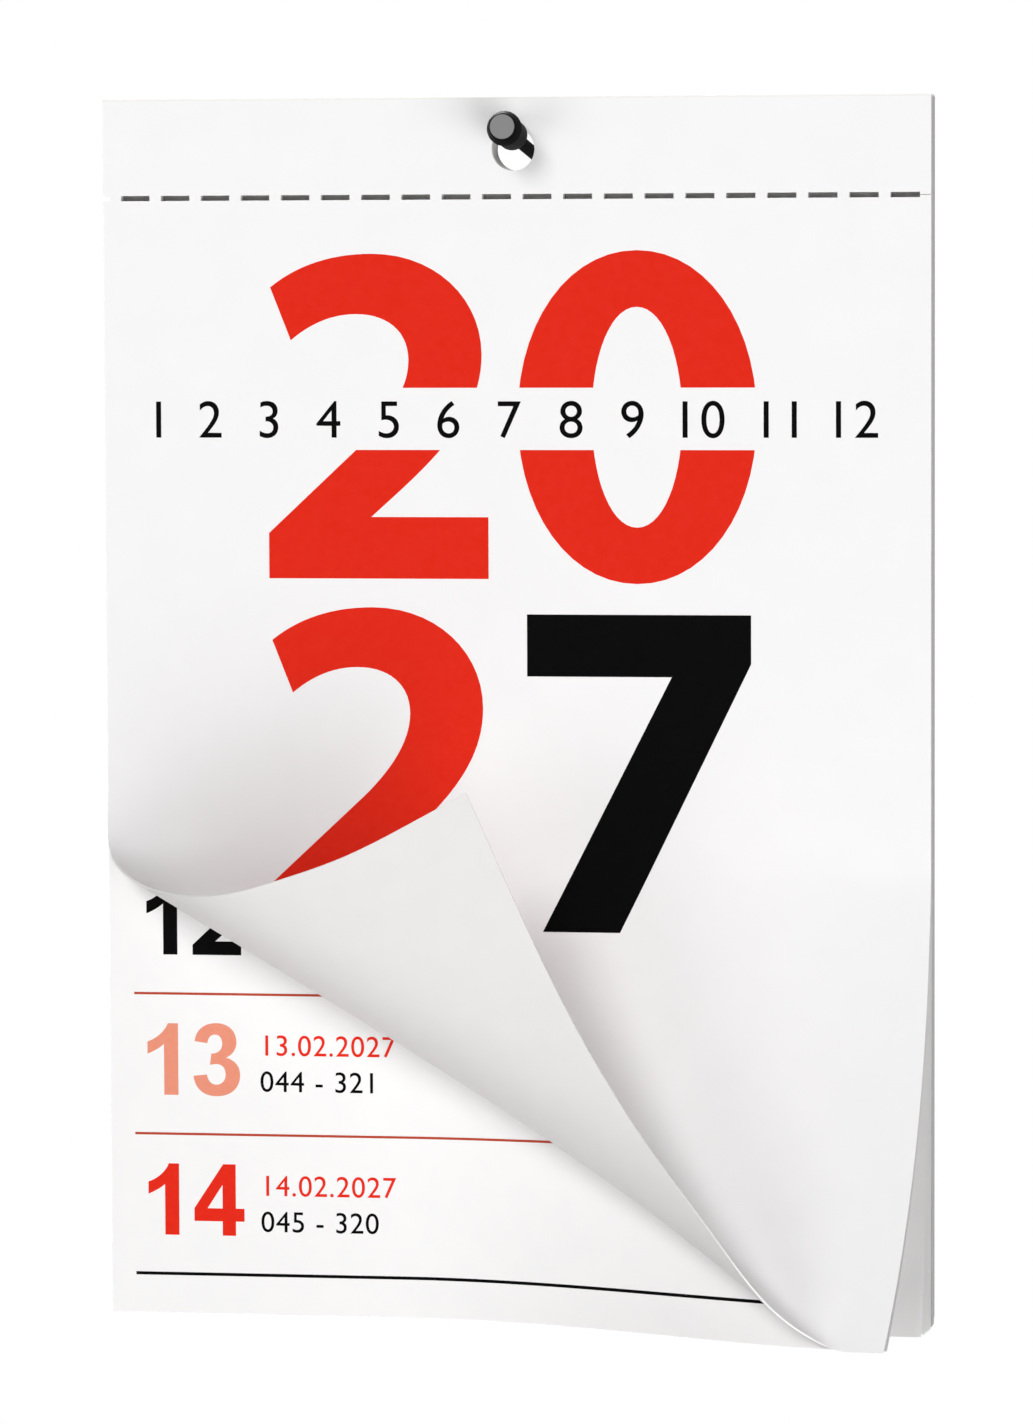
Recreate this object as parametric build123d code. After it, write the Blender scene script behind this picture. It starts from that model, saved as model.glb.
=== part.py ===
from build123d import *
from math import cos, radians, sin, tan
import os

# Wall calendar: a pad of week leaves under a printed cover, hung by a punched hole on a peg.
# Millimetres. The wall is the plane y = 0, the leaves face -Y and +Z is up.
# The origin is where the peg's axis meets the wall.

# Pad
page_width = 143.0
page_height = 210.0
board_thickness = 0.8
board_corner = 1.2
leaf_thickness = 0.1
leaf_air = 0.005
leaf_count = 47
leaves_per_group = 6
cover_thickness = 0.3
cover_air = 0.2
glue_thickness = 0.3

# Punched hole and tear line, measured down from the top edge
hole_diameter = 7.4
hole_drop = 8.5
tear_drop = 16.6
tear_gap = 0.1
slot_length = 5.0
slot_height = 0.9
slot_tie = 2.0
slot_margin = 1.9

# Leaves that bend forward at the lower right
fan_count = 8
fan_air = 0.06
lift_start = 132.0
lift_left = -20.0
lift_right = 72.0
lift_power = 1.3
lift_pull = 5.5
cover_lift = 26.0
first_leaf_lift = 25.0
fan_lift = 10.0
fan_ratio = 0.72

# Curled lower left corner of the cover. Each row is one place along the curled edge:
# its share of the curl's run to the right, its share of the rise up the page, and its height in mm.
curl_margin = 6.7
curl_rise = 91.2
curl_left_edge = [
    (0.000, 1.000, 0.0),
    (0.004, 0.897, 2.0),
    (0.037, 0.849, 9.0),
    (0.101, 0.826, 18.5),
    (0.186, 0.832, 26.5),
    (0.272, 0.868, 31.0),
    (0.351, 0.912, 33.5),
    (0.428, 0.970, 35.0),
    (0.505, 1.033, 36.0),
]
curl_bottom_edge = [
    (1.000, 0.000, 0.0),
    (0.954, 0.019, 1.5),
    (0.910, 0.060, 7.0),
    (0.871, 0.114, 13.0),
    (0.809, 0.225, 20.0),
    (0.732, 0.371, 25.5),
    (0.644, 0.577, 30.0),
    (0.580, 0.771, 33.0),
    (0.505, 1.033, 36.0),
]

# Peg
peg_tilt = 6.5
peg_reach = 11.9
barrel_diameter = 5.2
barrel_gap = 0.2
head_diameter = 5.95
head_length = 2.85
head_land = 0.55
head_round = 0.2
end_rim = 0.13
cap_diameter = 4.2
cap_thickness = 0.8
cap_proud = 0.15
cap_round = 0.1
peg_fit = 0.02
pin_diameter = 2.6
root_diameter = 2.2
root_length = 25.0
root_point = 6.0
tang_diameter = 2.0
tang_length = 7.0
hole_clearance = 0.15

# How finely a bent sheet is divided
sheet_columns = 44
curl_rows = 40
fan_columns = 20
fan_rows = 14
normal_step = 0.3

# Depth of the pad, counted forward from the wall
left_side = -page_width / 2
right_side = page_width / 2
leaf_pitch = leaf_thickness + leaf_air
fan_pitch = leaf_thickness + fan_air
flat_count = leaf_count - fan_count
flat_front = board_thickness + flat_count * leaf_pitch
fan_front = flat_front + fan_count * fan_pitch
cover_back = fan_front - fan_air + cover_air
pad_front = cover_back + cover_thickness

# The pad hangs with its hole's upper edge just clear of the tilted pin
tilt = radians(peg_tilt)
hole_height = pad_front * tan(tilt) + pin_diameter / 2 / cos(tilt) + hole_clearance - hole_diameter / 2
page_top = hole_height + hole_drop


def spot(x, drop, forward):
    """A point at x across, drop below the pad's top edge and forward of the wall."""
    return Vector(x, -forward, page_top - drop)


def block(x_range, drop_range, forward_range):
    """A box between two places across, down and forward."""
    low = spot(x_range[0], drop_range[1], forward_range[1])
    size = (x_range[1] - x_range[0], forward_range[1] - forward_range[0], drop_range[1] - drop_range[0])
    corner = (Align.MIN, Align.MIN, Align.MIN)
    return Pos(low) * Box(*size, align=corner)


def through(forward_range):
    """The punched hole as a plug between two depths."""
    length = forward_range[1] - forward_range[0]
    middle = spot(0, hole_drop, sum(forward_range) / 2)
    return Pos(middle) * Rot(90, 0, 0) * Cylinder(hole_diameter / 2, length)


def tear_slots(forward_range):
    """The row of slots along the tear line, counted from the right edge until it runs out at the left."""
    drops = (tear_drop - slot_height / 2, tear_drop + slot_height / 2)
    slots = []
    end = right_side - slot_margin
    while end > left_side:
        slots.append(block((end - slot_length, end), drops, forward_range))
        end -= slot_length + slot_tie
    return slots


def depths_around(back, front):
    """A depth range that passes well through a sheet."""
    return (back - page_width, front + page_width)


# Flat sheets


def flat_sheet(back, thickness, drop_range):
    """A flat sheet with its part of the tear slots and the hole, where it reaches them."""
    front = back + thickness
    sheet = block((left_side, right_side), drop_range, (back, front))
    sheet -= tear_slots(depths_around(back, front))
    if drop_range[0] < hole_drop:
        sheet -= through(depths_around(back, front))
    return sheet.solid()


def whole_leaf(back):
    """A leaf that is still whole, from the top edge to the bottom."""
    return flat_sheet(back, leaf_thickness, (0, page_height))


def stub(back, thickness):
    """The header strip that stays on the pad when its leaf is torn off."""
    return flat_sheet(back, thickness, (0, tear_drop - tear_gap / 2))


# Bent sheets


def ease(share):
    """A smooth step from 0 to 1."""
    share = min(max(share, 0), 1)
    return share * share * (3 - 2 * share)


def lifted(x, drop, forward, corner_lift):
    """A place on a leaf after its lower right corner has come forward by corner_lift."""
    down = max((drop - lift_start) / (page_height - lift_start), 0) ** lift_power
    lift = corner_lift * down * ease((x - lift_left) / (lift_right - lift_left))
    reach = min(max((x - lift_left) / (right_side - lift_left), 0), 1)
    pull = lift_pull * (lift / cover_lift) ** 2 * reach
    return spot(x - pull, drop, forward + lift)


curl_run = page_width - curl_margin


def curl_edge(rows, start_way):
    """One edge of the curl as a curve of places across, down and above the page."""
    places = []
    for across, up, height in rows:
        places.append(Vector(left_side + across * curl_run, page_height - up * curl_rise, height))
    end_way = (places[-1] - places[-2]).normalized()
    return Edge.make_spline(places, tangents=[start_way, end_way], scale=False)


left_curve = curl_edge(curl_left_edge, Vector(0, 1, 0))
bottom_curve = curl_edge(curl_bottom_edge, Vector(-1, 0, 0))


def cover_place(x, drop):
    """Where a point of the flat cover lies once its corner is curled and its other corner lifted."""
    across = (x - left_side) / curl_run
    up = (page_height - drop) / curl_rise
    turned = 1 - across - up
    if turned <= 0:
        return lifted(x, drop, pad_front, cover_lift)
    share = across / max(across + up, 1e-9)
    turned = min(turned, 1)
    place = (left_curve @ turned) * (1 - share) + (bottom_curve @ turned) * share
    return lifted(place.X, place.Y, pad_front + place.Z, cover_lift)


def leaf_place(front, corner_lift):
    """The same for a leaf that is only lifted."""
    return lambda x, drop: lifted(x, drop, front, corner_lift)


def row_edges(place, drop, drop_range, columns, thickness):
    """The front and back edges of one row across a bent sheet."""
    fronts = []
    backs = []
    for column in range(columns + 1):
        x = left_side + page_width * column / columns
        inner_x = min(max(x, left_side + normal_step), right_side - normal_step)
        inner_drop = min(max(drop, drop_range[0] + normal_step), drop_range[1] - normal_step)
        across = place(inner_x + normal_step, inner_drop) - place(inner_x - normal_step, inner_drop)
        down = place(inner_x, inner_drop + normal_step) - place(inner_x, inner_drop - normal_step)
        front = place(x, drop)
        fronts.append(front)
        backs.append(front + across.cross(down).normalized() * thickness)
    depths = [front.Y for front in fronts]
    if max(depths) - min(depths) < 1e-9:
        return Edge.make_line(fronts[0], fronts[-1]), Edge.make_line(backs[0], backs[-1])
    return Edge.make_spline(fronts), Edge.make_spline(backs)


def bent_sheet(place, top_drop, bend_drop, rows, columns, thickness):
    """A closed sheet, flat from top_drop to bend_drop and bent from there to the bottom edge."""
    drops = [top_drop]
    for row in range(rows + 1):
        drops.append(bend_drop + (page_height - bend_drop) * row / rows)
    pairs = []
    for drop in drops:
        pairs.append(row_edges(place, drop, (top_drop, page_height), columns, thickness))
    faces = [Face.make_surface_from_curves(*pairs[0]), Face.make_surface_from_curves(*pairs[-1])]
    for (front, back), (next_front, next_back) in zip(pairs, pairs[1:]):
        faces.append(Face.make_surface_from_curves(front, next_front))
        faces.append(Face.make_surface_from_curves(back, next_back))
        for end in (0, 1):
            side = Edge.make_line(front @ end, back @ end)
            next_side = Edge.make_line(next_front @ end, next_back @ end)
            faces.append(Face.make_surface_from_curves(side, next_side))
    return Solid(Shell(faces))


def cut_sheet(sheet, back, front, with_hole):
    """A bent sheet with its tear slots, and its hole where it keeps its header."""
    sheet = sheet - tear_slots(depths_around(back, front))
    if with_hole:
        sheet = sheet - through(depths_around(back, front))
    return sheet.solid()


def fanned_leaf(front, corner_lift, top_drop):
    """A leaf that bends forward at its lower right corner, whole or torn from its header."""
    place = leaf_place(front, corner_lift)
    sheet = bent_sheet(place, top_drop, lift_start, fan_rows, fan_columns, leaf_thickness)
    return cut_sheet(sheet, front - leaf_thickness, front, top_drop < hole_drop)


def cover_leaf():
    """The cover below its tear line, with the curled corner."""
    top_drop = tear_drop + tear_gap / 2
    bend_drop = page_height - curl_rise
    sheet = bent_sheet(cover_place, top_drop, bend_drop, curl_rows, sheet_columns, cover_thickness)
    return cut_sheet(sheet, cover_back, pad_front, False)


# Board and glue


def backing_board():
    """The grey board behind the leaves, with its lower corners rounded."""
    board = block((left_side, right_side), (0, page_height), (0, board_thickness))
    corners = board.edges().filter_by(Axis.Y).group_by(Axis.Z)[0]
    board = fillet(corners, board_corner)
    return (board - through(depths_around(0, board_thickness))).solid()


def glue_binding():
    """The strip of padding glue that joins all the leaves along the top edge."""
    return block((left_side, right_side), (-glue_thickness, 0), (0, pad_front)).solid()


# Peg

peg_plane = Plane(origin=(0, 0, 0), x_dir=(1, 0, 0), z_dir=(0, -cos(tilt), sin(tilt)))
barrel_start = (pad_front + barrel_gap + barrel_diameter / 2 * sin(tilt)) / cos(tilt)
peg_end = pad_front / cos(tilt) + peg_reach
head_start = peg_end - head_length
taper_start = head_start + head_land
cap_start = peg_end + cap_proud - cap_thickness
pin_start = pin_diameter / 2 * tan(tilt)
along_peg = (Align.CENTER, Align.CENTER, Align.MIN)


def peg_rod(diameter, start, end):
    """A round length of the peg between two places on its axis."""
    return Pos(0, 0, start) * Cylinder(diameter / 2, end - start, align=along_peg)


def peg_body():
    """The black peg: a barrel just in front of the pad, and a larger head that tapers towards its end."""
    land = peg_rod(head_diameter, head_start, taper_start)
    land = fillet(land.edges().filter_by(GeomType.CIRCLE).group_by(Axis.Z)[0], head_round)
    end_diameter = cap_diameter + 2 * (peg_fit + end_rim)
    taper = Cone(head_diameter / 2, end_diameter / 2, peg_end - taper_start, align=along_peg)
    body = peg_rod(barrel_diameter, barrel_start, taper_start) + land + Pos(0, 0, taper_start) * taper
    body -= peg_rod(cap_diameter + 2 * peg_fit, cap_start, peg_end)
    body -= peg_rod(tang_diameter + 2 * peg_fit, barrel_start, barrel_start + tang_length)
    return (peg_plane * body).solid()


def peg_cap():
    """The grey disc set in the end of the head."""
    cap = peg_rod(cap_diameter, cap_start, peg_end + cap_proud)
    rim = cap.edges().filter_by(GeomType.CIRCLE).group_by(Axis.Z)[-1]
    return (peg_plane * fillet(rim, cap_round)).solid()


def peg_pin():
    """The pin that the pad hangs on: a tang in the peg, a shank, and a thinner pointed root in the wall."""
    pin = peg_rod(pin_diameter, pin_start, barrel_start)
    pin += peg_rod(tang_diameter, barrel_start, barrel_start + tang_length)
    pin += peg_rod(root_diameter, root_point - root_length, pin_start)
    pin += Pos(0, 0, -root_length) * Cone(root_diameter / 12, root_diameter / 2, root_point, align=along_peg)
    return (peg_plane * pin).solid()


# The parts

os.makedirs("parts", exist_ok=True)


def save(name, shape):
    """Writes one node."""
    shape.label = name
    export_step(shape, os.path.join("parts", name + ".step"))


save("peg_body", peg_body())
save("peg_cap", peg_cap())
save("peg_pin", peg_pin())
save("backing_board", backing_board())
save("glue_binding", glue_binding())
save("cover_stub", stub(cover_back, cover_thickness))
save("cover_leaf", cover_leaf())

for number in range(1, fan_count + 1):
    front = fan_front - fan_air - (number - 1) * fan_pitch
    if number == 1:
        save("week_stub_01", stub(front - leaf_thickness, leaf_thickness))
        save("week_leaf_01", fanned_leaf(front, first_leaf_lift, tear_drop + tear_gap / 2))
    else:
        save(f"week_leaf_{number:02d}", fanned_leaf(front, fan_lift * fan_ratio ** (number - 2), 0))

flat_leaf = whole_leaf(0)
for first in range(fan_count + 1, leaf_count + 1, leaves_per_group):
    last = min(first + leaves_per_group - 1, leaf_count)
    leaves = []
    for number in range(first, last + 1):
        back = board_thickness + (leaf_count - number) * leaf_pitch + leaf_air
        leaves.append(Pos(0, -back, 0) * flat_leaf)
    save(f"week_leaves_{first:02d}_{last:02d}", Compound(children=leaves))

print(f"pad depth {pad_front:.3f}, hole height {hole_height:.3f}, page top {page_top:.3f}, peg end {peg_end:.3f}")
print(f"curled edges {left_curve.length:.1f} and {bottom_curve.length:.1f}, flat {curl_rise:.1f} and {curl_run:.1f}")
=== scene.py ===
"""Looks of a tear-off week calendar that hangs on a peg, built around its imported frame.

Sizes are in millimetres up to the point where a mesh is written, which is in metres. A place on a
page is given as x across from the page's middle, drop below its top edge, and forward of the wall.
"""

from __future__ import annotations

import logging
import math
from contextlib import contextmanager
from dataclasses import dataclass
from enum import Enum
from typing import Callable, Iterable, Iterator, Sequence

import bmesh
import bpy
import numpy as np
from mathutils import Matrix, Vector


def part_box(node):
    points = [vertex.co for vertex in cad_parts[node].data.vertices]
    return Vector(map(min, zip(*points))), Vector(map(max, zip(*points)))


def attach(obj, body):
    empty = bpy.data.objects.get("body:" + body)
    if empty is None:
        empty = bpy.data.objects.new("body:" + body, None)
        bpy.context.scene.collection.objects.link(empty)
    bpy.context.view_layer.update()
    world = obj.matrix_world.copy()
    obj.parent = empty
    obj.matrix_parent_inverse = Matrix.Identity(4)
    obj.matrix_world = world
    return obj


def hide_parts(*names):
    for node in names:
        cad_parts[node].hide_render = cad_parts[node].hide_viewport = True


LOG = logging.getLogger("calendar")
MM = 0.001
# Vertices closer than this, in metres, are merged into one
MERGE_M = 1e-6

# The photograph's height in pixels, and the long side of the camera's sensor in millimetres
IMAGE_HEIGHT = 1424
SENSOR_MM = 36.0

Mesh = bpy.types.Mesh
Node = bpy.types.Node
Piece = bpy.types.Object
Socket = bpy.types.NodeSocket
Tree = bpy.types.NodeTree
Inputs = dict[int | str, object]
Place = Callable[[np.ndarray, np.ndarray], np.ndarray]
Outline = Sequence[Sequence[float]]


def linear(code: str) -> tuple[float, float, float, float]:
    """Turns an sRGB hex colour into linear light.

    Args:
        code: Six hex digits, with or without a leading mark.

    Returns:
        Red, green, blue and an alpha of 1.
    """
    digits = code.lstrip("#")
    parts = [int(digits[i:i + 2], 16) / 255 for i in (0, 2, 4)]
    red, green, blue = (p / 12.92 if p <= 0.04045 else ((p + 0.055) / 1.055) ** 2.4 for p in parts)
    return red, green, blue, 1.0


def per_mm(size: float) -> float:
    """The scale of a texture whose features are size millimetres wide."""
    return 1.0 / (size * MM)


def link_inputs(tree: Tree, node: Node, inputs: Inputs) -> None:
    """Sets or links a node's inputs.

    Args:
        tree: The node's tree.
        node: The node.
        inputs: For each input, a value or the output socket that feeds it.
    """
    for key, value in inputs.items():
        if isinstance(value, Socket):
            tree.links.new(value, node.inputs[key])
        else:
            node.inputs[key].default_value = value


def add_node(tree: Tree, kind: str, inputs: Inputs | None = None, **settings: object) -> Node:
    """Adds a node with its settings and its links.

    Args:
        tree: The tree that gets the node.
        kind: Blender's name for the node.
        inputs: For each input, a value or the output socket that feeds it.
        settings: The node's own properties.

    Returns:
        The new node.
    """
    node = tree.nodes.new(kind)
    for key, value in settings.items():
        setattr(node, key, value)
    link_inputs(tree, node, inputs or {})
    return node


def new_material(name: str) -> tuple[bpy.types.Material, Tree, Node]:
    """Starts a material.

    Args:
        name: The real material's name.

    Returns:
        The material, its tree and its main shader.
    """
    material = bpy.data.materials.new(name)
    material.use_nodes = True
    tree = material.node_tree
    return material, tree, tree.nodes["Principled BSDF"]


# Finishes


@dataclass(frozen=True)
class Grain:
    """A cloudy pattern: its features' width, how finely they break up and how far they are stirred.

    A squeeze below 1 draws the features out along the pad's depth.
    """

    size_mm: float
    detail: float = 3.0
    stir: float = 0.0
    squeeze: float = 1.0


@dataclass(frozen=True)
class Surface:
    """What the finishes share: a colour, a roughness and a relief that follow patterns.

    The tint leads from the colour to the second one, the rub varies the roughness by the spread
    below and above it, and the tooth stands up.
    """

    name: str
    colour: str
    second_colour: str = ""
    roughness: float = 0.6
    shine: float = 0.5
    tint: Grain | None = None
    rub: Grain | None = None
    spread: tuple[float, float] = (0.0, 0.0)
    tooth: Grain | None = None
    relief_mm: float = 0.02
    relief_share: float = 0.3

    def patterns(self, tree: Tree, place: Socket) -> Sequence[Socket | None]:
        """Draws the finish's patterns.

        Args:
            tree: The material's tree.
            place: The socket that gives a place on the piece.

        Returns:
            The sockets of the tint, the rub and the tooth.
        """
        drawn: dict[Grain | None, Socket | None] = {None: None}
        wanted = (self.tint, self.rub, self.tooth)
        for grain in wanted:
            if grain in drawn:
                continue
            where = place
            if grain.squeeze != 1.0:
                drawn_out = {"Vector": place, "Scale": (1.0, grain.squeeze, 1.0)}
                where = add_node(tree, "ShaderNodeMapping", drawn_out).outputs["Vector"]
            noise = add_node(tree, "ShaderNodeTexNoise", {
                "Vector": where, "Scale": per_mm(grain.size_mm), "Detail": grain.detail,
                "Distortion": grain.stir,
            })
            drawn[grain] = noise.outputs["Fac"]
        return [drawn[grain] for grain in wanted]

    def material(self) -> bpy.types.Material:
        """Builds the finish's material.

        Returns:
            The material, whose shader reads the patterns.
        """
        material, tree, shader = new_material(self.name)
        place = add_node(tree, "ShaderNodeTexCoord").outputs["Object"]
        tint, rub, tooth = self.patterns(tree, place)
        link_inputs(tree, shader, {
            "Base Color": linear(self.colour), "Roughness": self.roughness, "Specular IOR Level": self.shine,
        })
        if tint is not None:
            ends = {6: linear(self.colour), 7: linear(self.second_colour)}
            shade = add_node(tree, "ShaderNodeMix", {0: tint, **ends}, data_type="RGBA")
            link_inputs(tree, shader, {"Base Color": shade.outputs[2]})
        if rub is not None:
            below, above = self.spread
            ends = {"To Min": self.roughness - below, "To Max": self.roughness + above}
            rough = add_node(tree, "ShaderNodeMapRange", {"Value": rub, **ends})
            link_inputs(tree, shader, {"Roughness": rough.outputs["Result"]})
        if tooth is not None:
            height = {"Strength": self.relief_share, "Distance": self.relief_mm * MM}
            bump = add_node(tree, "ShaderNodeBump", {"Height": tooth, **height})
            link_inputs(tree, shader, {"Normal": bump.outputs["Normal"]})
        return material


@dataclass(frozen=True)
class PaperFinish(Surface):
    """Calendered paper: nearly flat white, with a cloudy formation and short fibres that catch the light."""

    shine: float = 0.3
    tint: Grain = Grain(9.0)
    # Real fibres are 0.03 mm wide, so they are drawn coarser to show
    rub: Grain = Grain(0.45, detail=4.0, stir=1.5)
    spread: tuple[float, float] = (0.08, 0.08)
    tooth: Grain = rub
    relief_mm: float = 0.012
    relief_share: float = 0.35


@dataclass(frozen=True)
class CutStackFinish(Surface):
    """Guillotined sides of a white leaf stack: painted shade greys them and lines them where leaf meets leaf.
    """

    tint: Grain = Grain(1.6)
    # Leaves are 0.105 mm apart, so every fourth line is drawn to show
    line_mm: float = 0.42
    line_fade: tuple[float, float] = (-0.2, 0.6)

    def patterns(self, tree: Tree, place: Socket) -> Sequence[Socket | None]:
        """Draws lines of painted shade across the stack, broken by flecks.

        Args:
            tree: The material's tree.
            place: The socket that gives a place on the piece.

        Returns:
            The sockets of the tint and the tooth, with no rub.
        """
        fleck = super().patterns(tree, place)[0]
        across = add_node(tree, "ShaderNodeSeparateXYZ", {"Vector": place}).outputs["Y"]
        turns = add_node(tree, "ShaderNodeMath", {0: across, 1: 2 * math.pi * per_mm(self.line_mm)},
                         operation="MULTIPLY")
        wave = add_node(tree, "ShaderNodeMath", {0: turns.outputs[0]}, operation="SINE").outputs[0]
        # The lines' darkness is painted shade for the gaps between the leaves
        depth = add_node(tree, "ShaderNodeMath", {0: wave, 1: fleck}, operation="MULTIPLY").outputs[0]
        start, end = self.line_fade
        share = add_node(tree, "ShaderNodeMapRange", {"Value": depth, "From Min": start, "From Max": end})
        return share.outputs["Result"], None, wave


@dataclass(frozen=True)
class BoardFinish(Surface):
    """Recycled grey board: matt grey pulp with paler and darker flecks pressed into it."""

    roughness: float = 0.92
    tooth: Grain = Grain(0.5, detail=5.0, stir=2.0)
    relief_mm: float = 0.03
    relief_share: float = 0.5
    fleck_mm: float = 1.1
    fleck_edge: tuple[float, float] = (0.1, 0.3)

    def patterns(self, tree: Tree, place: Socket) -> Sequence[Socket | None]:
        """Draws flecks in the pulp.

        Args:
            tree: The material's tree.
            place: The socket that gives a place on the piece.

        Returns:
            The sockets of the tint and the tooth, with no rub.
        """
        pulp = super().patterns(tree, place)[2]
        fleck = add_node(tree, "ShaderNodeTexVoronoi", {"Vector": place, "Scale": per_mm(self.fleck_mm)})
        start, end = self.fleck_edge
        near = add_node(tree, "ShaderNodeMapRange", {
            "Value": fleck.outputs["Distance"], "From Min": start, "From Max": end,
            "To Min": 1.0, "To Max": 0.0,
        })
        share = add_node(tree, "ShaderNodeMath", {0: near.outputs["Result"], 1: pulp}, operation="MULTIPLY")
        return share.outputs[0], None, pulp


@dataclass(frozen=True)
class GlueFinish(Surface):
    """Dried padding glue: a brushed, slightly lumpy white film with a soft shine."""

    roughness: float = 0.38
    rub: Grain = Grain(2.2)
    spread: tuple[float, float] = (0.12, 0.12)
    tooth: Grain = rub
    relief_mm: float = 0.12
    relief_share: float = 0.6


@dataclass(frozen=True)
class PlasticFinish(Surface):
    """Moulded plastic: an even colour under a satin skin with a faint mould grain."""

    tint: Grain = Grain(2.1)
    rub: Grain = tint
    spread: tuple[float, float] = (0.07, 0.07)
    tooth: Grain = Grain(0.35, detail=2.0)
    relief_share: float = 0.15


@dataclass(frozen=True)
class OxideFinish(Surface):
    """Blackened steel wire: a dull black oxide skin that hides the metal, with fine drawn lines along it."""

    roughness: float = 0.7
    shine: float = 0.008
    rub: Grain = Grain(0.25, squeeze=0.04)
    spread: tuple[float, float] = (0.1, 0.15)
    tooth: Grain = rub
    relief_mm: float = 0.01


@dataclass(frozen=True)
class InkFinish(Surface):
    """Offset printing ink: a thin even film that keeps the paper's tooth and thins a little in places."""

    shine: float = 0.02
    tint: Grain = Grain(1.2, detail=4.0)
    rub: Grain = tint
    spread: tuple[float, float] = (0.06, 0.06)


class Finish(Enum):
    """The calendar's finishes."""

    COVER = PaperFinish("coated cover card", "#FAF9F9", "#F6F5F5", 0.55)
    # The back's greyer tone is partly the uncoated card's own and partly painted shade on the curled-over
    # flap
    REVERSE = PaperFinish("uncoated back of cover card", "#EDEBEA", "#E8E6E5", 0.8, shine=0.2,
                          tint=Grain(6.0))
    LEAF = PaperFinish("white offset paper", "#F8F7F6", "#F3F2F2", 0.7, tint=Grain(7.0))
    # The cut edge's grey tone and its darker lines are painted shade in the gaps between the leaves
    STACK = CutStackFinish("cut edge of offset paper", "#E9E7E5", "#B0AEAB", 0.8)
    BOARD = BoardFinish("recycled grey board", "#8D8C8A", "#A9A7A3")
    GLUE = GlueFinish("dried padding glue", "#F2F1EE")
    PEG = PlasticFinish("moulded black plastic", "#050505", "#0A0A0B", 0.5, shine=0.012)
    CAP = PlasticFinish("moulded grey plastic", "#828282", "#888888", 0.5, shine=0.2)
    PIN = OxideFinish("blackened steel wire", "#060606")
    RED = InkFinish("red offset ink", "#E42716", "#E83222")
    BRICK = InkFinish("brick red offset ink", "#B4422D", "#BD4E3B")
    SALMON = InkFinish("salmon offset ink", "#E98F74", "#EC9A82")
    BLACK = InkFinish("black offset ink", "#050505", "#0C0B0B")

    def dress(self) -> bpy.types.Material:
        """The finish's material, which is built once."""
        return bpy.data.materials.get(self.value.name) or self.value.material()


# Meshes


def new_object(name: str, data: bpy.types.ID) -> Piece:
    """Puts a mesh or a curve in the scene.

    Args:
        name: Its name.
        data: The mesh or the curve.

    Returns:
        The object that holds it.
    """
    data.name = name
    piece = bpy.data.objects.new(name, data)
    bpy.context.scene.collection.objects.link(piece)
    return piece


def mesh_of(vertices: np.ndarray, faces: Iterable[Sequence[int]]) -> Mesh:
    """Makes a mesh.

    Args:
        vertices: Places in millimetres.
        faces: Each face's vertices, in order.

    Returns:
        The mesh, in metres.
    """
    mesh = bpy.data.meshes.new("piece")
    mesh.from_pydata((np.asarray(vertices) * MM).tolist(), [], [list(face) for face in faces])
    mesh.update()
    return mesh


@contextmanager
def editing(mesh: Mesh, *sources: Mesh) -> Iterator[bmesh.types.BMesh]:
    """Opens meshes for editing, and writes the result to one of them at the end.

    Args:
        mesh: The mesh that gets the result.
        sources: The meshes to start from, which is that mesh itself if none is named.

    Yields:
        The open meshes, as one.
    """
    work = bmesh.new()
    for source in sources or (mesh,):
        work.from_mesh(source)
    yield work
    work.to_mesh(mesh)
    work.free()


def evaluated(source: Piece) -> Mesh:
    """Turns an object and its modifiers into a plain mesh.

    Args:
        source: The object, which is removed.

    Returns:
        The mesh.
    """
    bpy.context.view_layer.update()
    graph = bpy.context.evaluated_depsgraph_get()
    mesh = bpy.data.meshes.new_from_object(source.evaluated_get(graph))
    bpy.data.objects.remove(source)
    return mesh


def baked(source: Piece, name: str) -> Piece:
    """A plain piece under a name, in place of an object and its modifiers."""
    return new_object(name, evaluated(source))


def smooth(piece: Piece, sharp_degrees: float = 40.0) -> Piece:
    """Shades a piece smooth, apart from its sharp edges.

    Args:
        piece: The piece.
        sharp_degrees: The angle from which an edge stays sharp.

    Returns:
        The same piece.
    """
    piece.data.shade_smooth()
    piece.data.set_sharp_from_angle(angle=math.radians(sharp_degrees))
    return piece


def thicken(piece: Piece, thickness: float, reverse: int = 0) -> None:
    """Gives a sheet its thickness.

    Args:
        piece: The sheet's face.
        thickness: Its thickness in millimetres, behind the face.
        reverse: How many materials after the face's own the back's comes.
    """
    wall = piece.modifiers.new("thickness", "SOLIDIFY")
    wall.thickness = thickness * MM
    wall.offset = -1.0
    wall.material_offset = reverse


def settle(piece: Piece, body: str, replaced: Sequence[str] = ()) -> None:
    """Makes a finished piece ride on its body.

    Args:
        piece: The piece, in its place.
        body: The body that carries it.
        replaced: The CAD nodes that it stands for.
    """
    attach(piece, body)
    if replaced:
        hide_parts(*replaced)
    LOG.info("%s rides on %s with %d faces", piece.name, body, len(piece.data.polygons))


def dress_node(node: str, finish: Finish) -> None:
    """Gives a CAD node that stays its finish.

    Args:
        node: The node's name.
        finish: Its finish.
    """
    shape = NODES[node]
    shape.data.materials.clear()
    shape.data.materials.append(finish.dress())
    LOG.info("%s keeps its shape in %s", node, finish.value.name)


def smoothed_copy(node: str, name: str, finish: Finish) -> Piece:
    """A merged copy of a CAD node, shaded smooth.

    Args:
        node: The node's name.
        name: The copy's name.
        finish: Its finish.

    Returns:
        The copy.
    """
    mesh = bpy.data.meshes.new(name)
    with editing(mesh, NODES[node].data) as work:
        bmesh.ops.remove_doubles(work, verts=work.verts, dist=MERGE_M)
    if "custom_normal" in mesh.attributes:
        mesh.attributes.remove(mesh.attributes["custom_normal"])
    mesh.materials.append(finish.dress())
    return smooth(new_object(name, mesh))


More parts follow.
